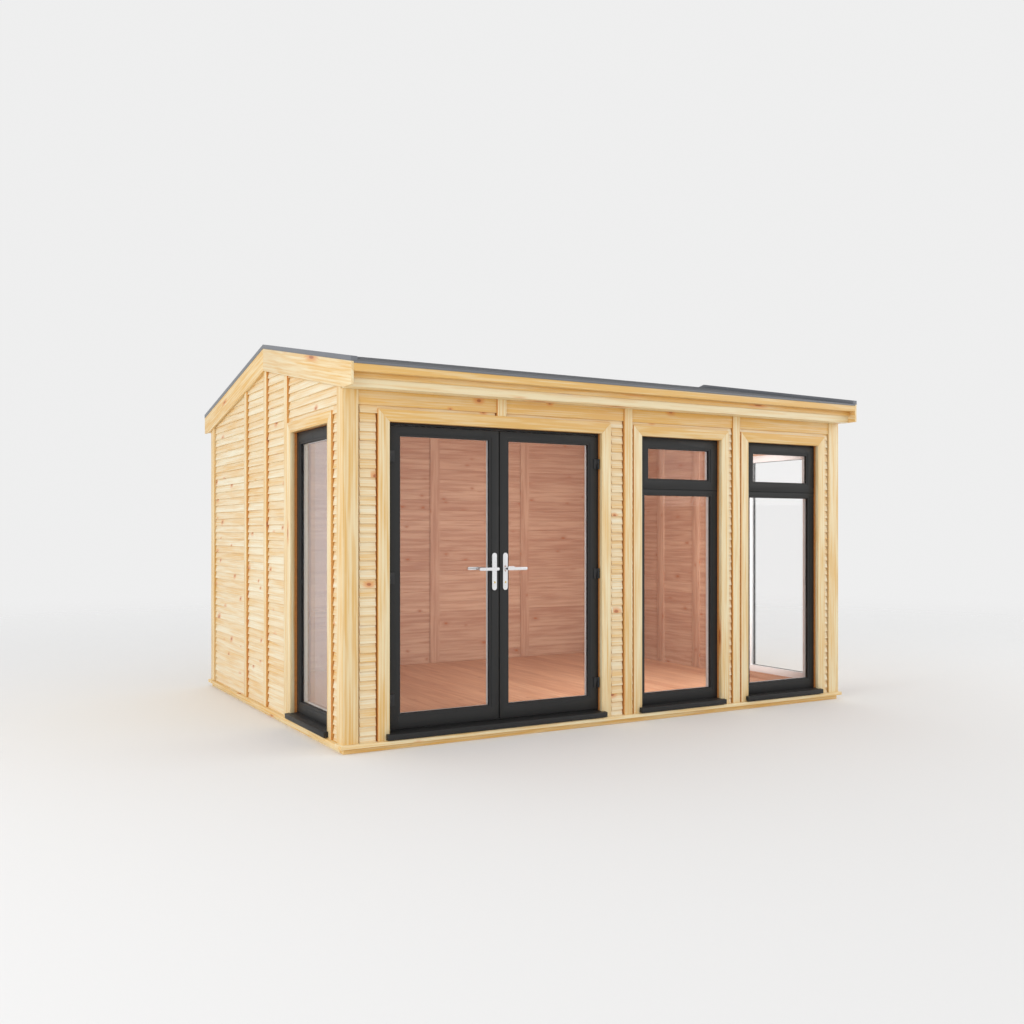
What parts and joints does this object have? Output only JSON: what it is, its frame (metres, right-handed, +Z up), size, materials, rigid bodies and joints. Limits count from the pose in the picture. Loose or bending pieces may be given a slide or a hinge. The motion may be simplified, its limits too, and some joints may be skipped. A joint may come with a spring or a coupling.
{
  "type": "garden office pod",
  "caption": "Timber garden office with an apex roof, boarded walls, glazed double doors that open outwards, tall framed windows and a boarded room inside.",
  "frame": {"origin": "on the ground, at the centre of the plan", "axes": "+X runs to the right along the front, +Y runs to the back, +Z is up; the doors are in the -Y wall"},
  "size_m": [3.916, 3.29, 2.5002],
  "materials": {
    "pine_board": "planed natural pine boards",
    "pine_trim": "planed natural pine trims",
    "lining": "red-brown timber lining",
    "floorboard": "planed timber floorboards",
    "base_timber": "sawn pine",
    "frame_plastic": "anthracite foiled plastic, white inside",
    "unit_glass": "clear double glazing",
    "roof_felt": "dark grey roof membrane",
    "roof_trim": "dark grey folded trim",
    "hinge_black": "black coated hinge",
    "handle_silver": "polished silver"
  },
  "bodies": {
    "building": {"base_frame": "base_timber", "floor_deck": "base_timber", "floor_boards": "floorboard", "front_pier_left": "pine_board", "front_pier_middle": "pine_board", "front_pier_right": "pine_board", "front_pier_corner": "pine_board", "front_header": "pine_board", "back_wall": "pine_board", "left_wall": "pine_board", "right_wall": "pine_board", "corner_trims": "pine_trim", "wall_battens": "pine_trim", "inner_cover_strips": "lining", "architraves": "pine_trim", "door_frame": "frame_plastic", "door_sill": "frame_plastic", "window_sills": "frame_plastic", "front_window_frame_1": "frame_plastic", "front_window_frame_2": "frame_plastic", "left_window_frame": "frame_plastic", "right_window_frame": "frame_plastic", "top_sashes": "frame_plastic", "front_window_glass": "unit_glass", "left_window_glass": "unit_glass", "right_window_glass": "unit_glass", "front_soffit": "pine_trim", "back_soffit": "pine_trim", "front_fascia": "pine_trim", "back_fascia": "pine_trim", "front_eave_rail": "pine_trim", "back_eave_rail": "pine_trim", "roof_deck_front": "pine_board", "roof_deck_back": "pine_board", "roof_covering": "roof_felt", "eave_trims": "roof_trim", "verge_trims": "roof_trim", "left_bargeboards": "pine_trim", "right_bargeboards": "pine_trim", "frame_hinges": "hinge_black"},
    "left_leaf": {"left_leaf": "frame_plastic", "left_leaf_glass": "unit_glass", "left_leaf_hinges": "hinge_black", "left_handle_plates": "handle_silver"},
    "left_lever": {"left_lever": "handle_silver"},
    "right_leaf": {"right_leaf": "frame_plastic", "right_leaf_glass": "unit_glass", "right_leaf_hinges": "hinge_black", "right_handle_plates": "handle_silver"},
    "right_lever": {"right_lever": "handle_silver"}
  },
  "joints": [
    {"name": "left_leaf_hinge", "type": "hinge", "parent": "building", "child": "left_leaf", "pos_m": [-1.637, -1.454, 0.969], "axis": [0, 0, -1], "range_deg": [0, 100]},
    {"name": "right_leaf_hinge", "type": "hinge", "parent": "building", "child": "right_leaf", "pos_m": [-0.199, -1.454, 0.969], "axis": [0, 0, 1], "range_deg": [0, 100]},
    {"name": "left_lever_turn", "type": "hinge", "parent": "left_leaf", "child": "left_lever", "pos_m": [-0.9555, -1.419, 1.012], "axis": [0, -1, 0], "range_deg": [-40, 40], "stiffness_Nm_per_rad": 3},
    {"name": "right_lever_turn", "type": "hinge", "parent": "right_leaf", "child": "right_lever", "pos_m": [-0.8805, -1.419, 1.012], "axis": [0, 1, 0], "range_deg": [-40, 40], "stiffness_Nm_per_rad": 3}
  ]
}
